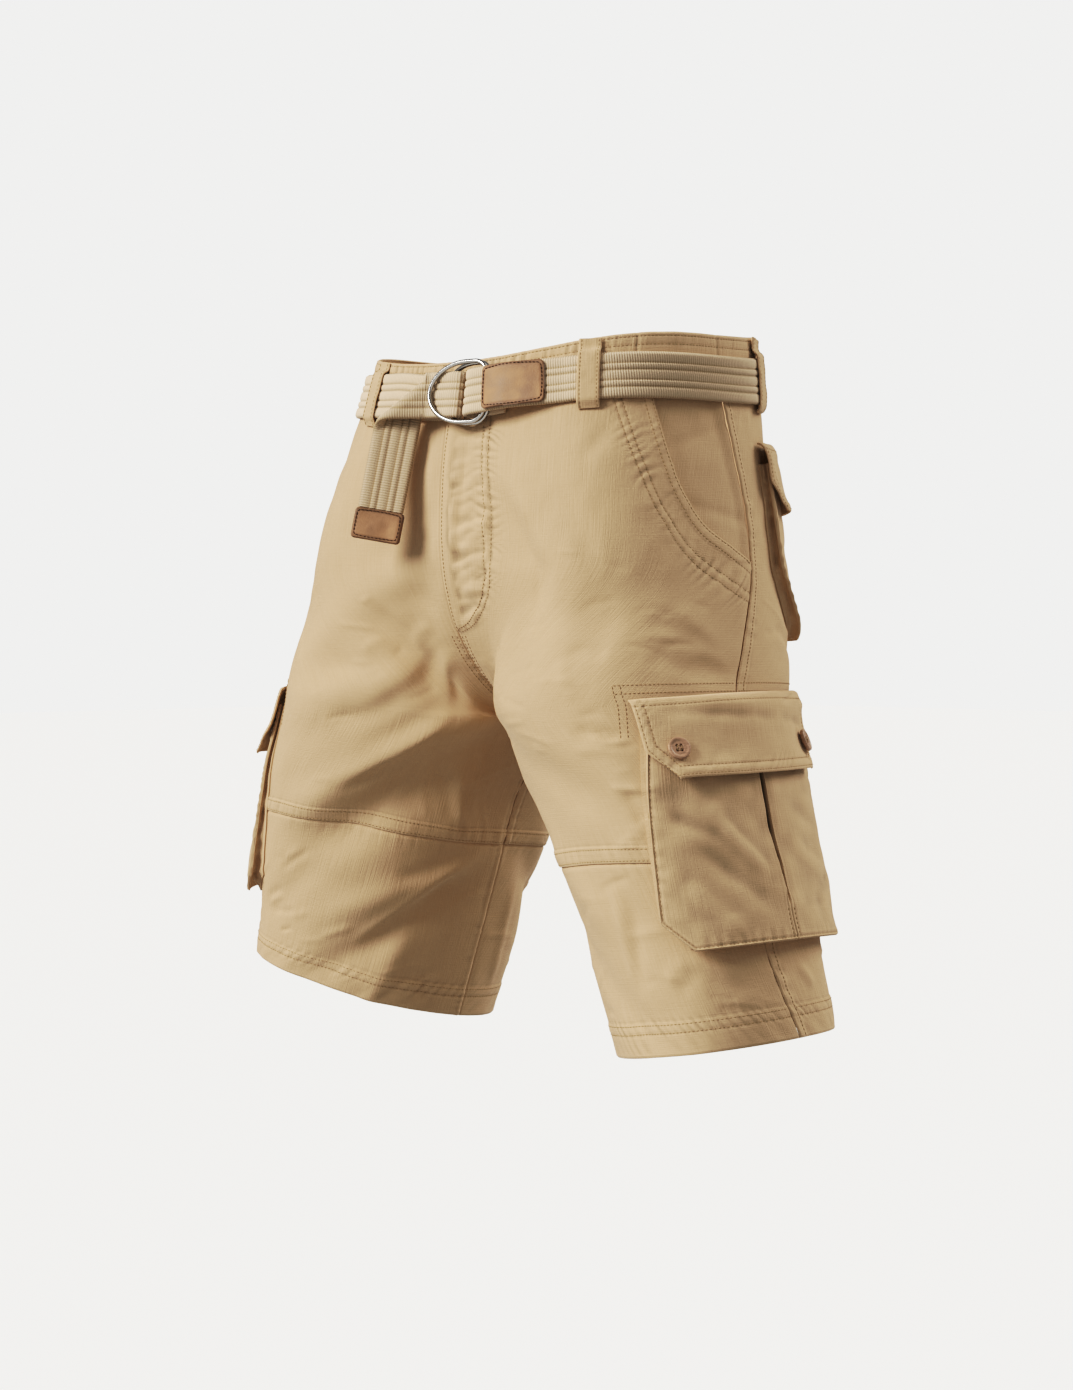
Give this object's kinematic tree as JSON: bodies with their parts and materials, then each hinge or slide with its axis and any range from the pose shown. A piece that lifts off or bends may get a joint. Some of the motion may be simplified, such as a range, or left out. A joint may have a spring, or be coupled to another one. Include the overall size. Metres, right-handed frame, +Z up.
{
  "type": "cargo shorts with webbing belt",
  "caption": "Knee-length khaki cargo shorts in a worn form, open at the waist and hems, with bellows pockets and a ribbed webbing belt with two rings.",
  "frame": {"origin": "middle of the waist opening, level with the waistband's top edge at the side seams", "axes": "+Z up, +X towards the wearer's left, -Y towards the front"},
  "size_m": [0.5472, 0.3009, 0.5479],
  "materials": {
    "cloth": "washed cotton twill, matt",
    "webbing": "ribbed cotton webbing, matt",
    "leather": "waxed leather, semi-matt",
    "steel": "polished and slightly worn",
    "button": "horn-like, satin"
  },
  "bodies": {
    "root": {"waistband_left": "cloth", "front_left": "cloth", "back_left": "cloth", "lower_front_left": "cloth", "lower_back_left": "cloth", "hip_pocket_facing_left": "cloth", "cargo_pocket_gusset_left": "cloth", "cargo_pocket_face_left": "cloth", "cargo_pocket_flap_left": "cloth", "cargo_pocket_button_left_1": "button", "cargo_pocket_button_left_2": "button", "back_pocket_gusset_left": "cloth", "back_pocket_face_left": "cloth", "back_pocket_flap_left": "cloth", "back_pocket_button_left_1": "button", "waistband_right": "cloth", "front_right": "cloth", "back_right": "cloth", "lower_front_right": "cloth", "lower_back_right": "cloth", "hip_pocket_facing_right": "cloth", "cargo_pocket_gusset_right": "cloth", "cargo_pocket_face_right": "cloth", "cargo_pocket_flap_right": "cloth", "cargo_pocket_button_right_1": "button", "cargo_pocket_button_right_2": "button", "back_pocket_gusset_right": "cloth", "back_pocket_face_right": "cloth", "back_pocket_flap_right": "cloth", "back_pocket_button_right_1": "button", "belt": "webbing", "belt_tail": "webbing", "belt_tip": "leather", "belt_patch": "leather", "d_ring_front": "steel", "d_ring_rear": "steel", "belt_loop_front_left": "cloth", "belt_loop_front_right": "cloth", "belt_loop_side_left": "cloth", "belt_loop_side_right": "cloth", "belt_loop_centre_back": "cloth"}
  },
  "joints": []
}
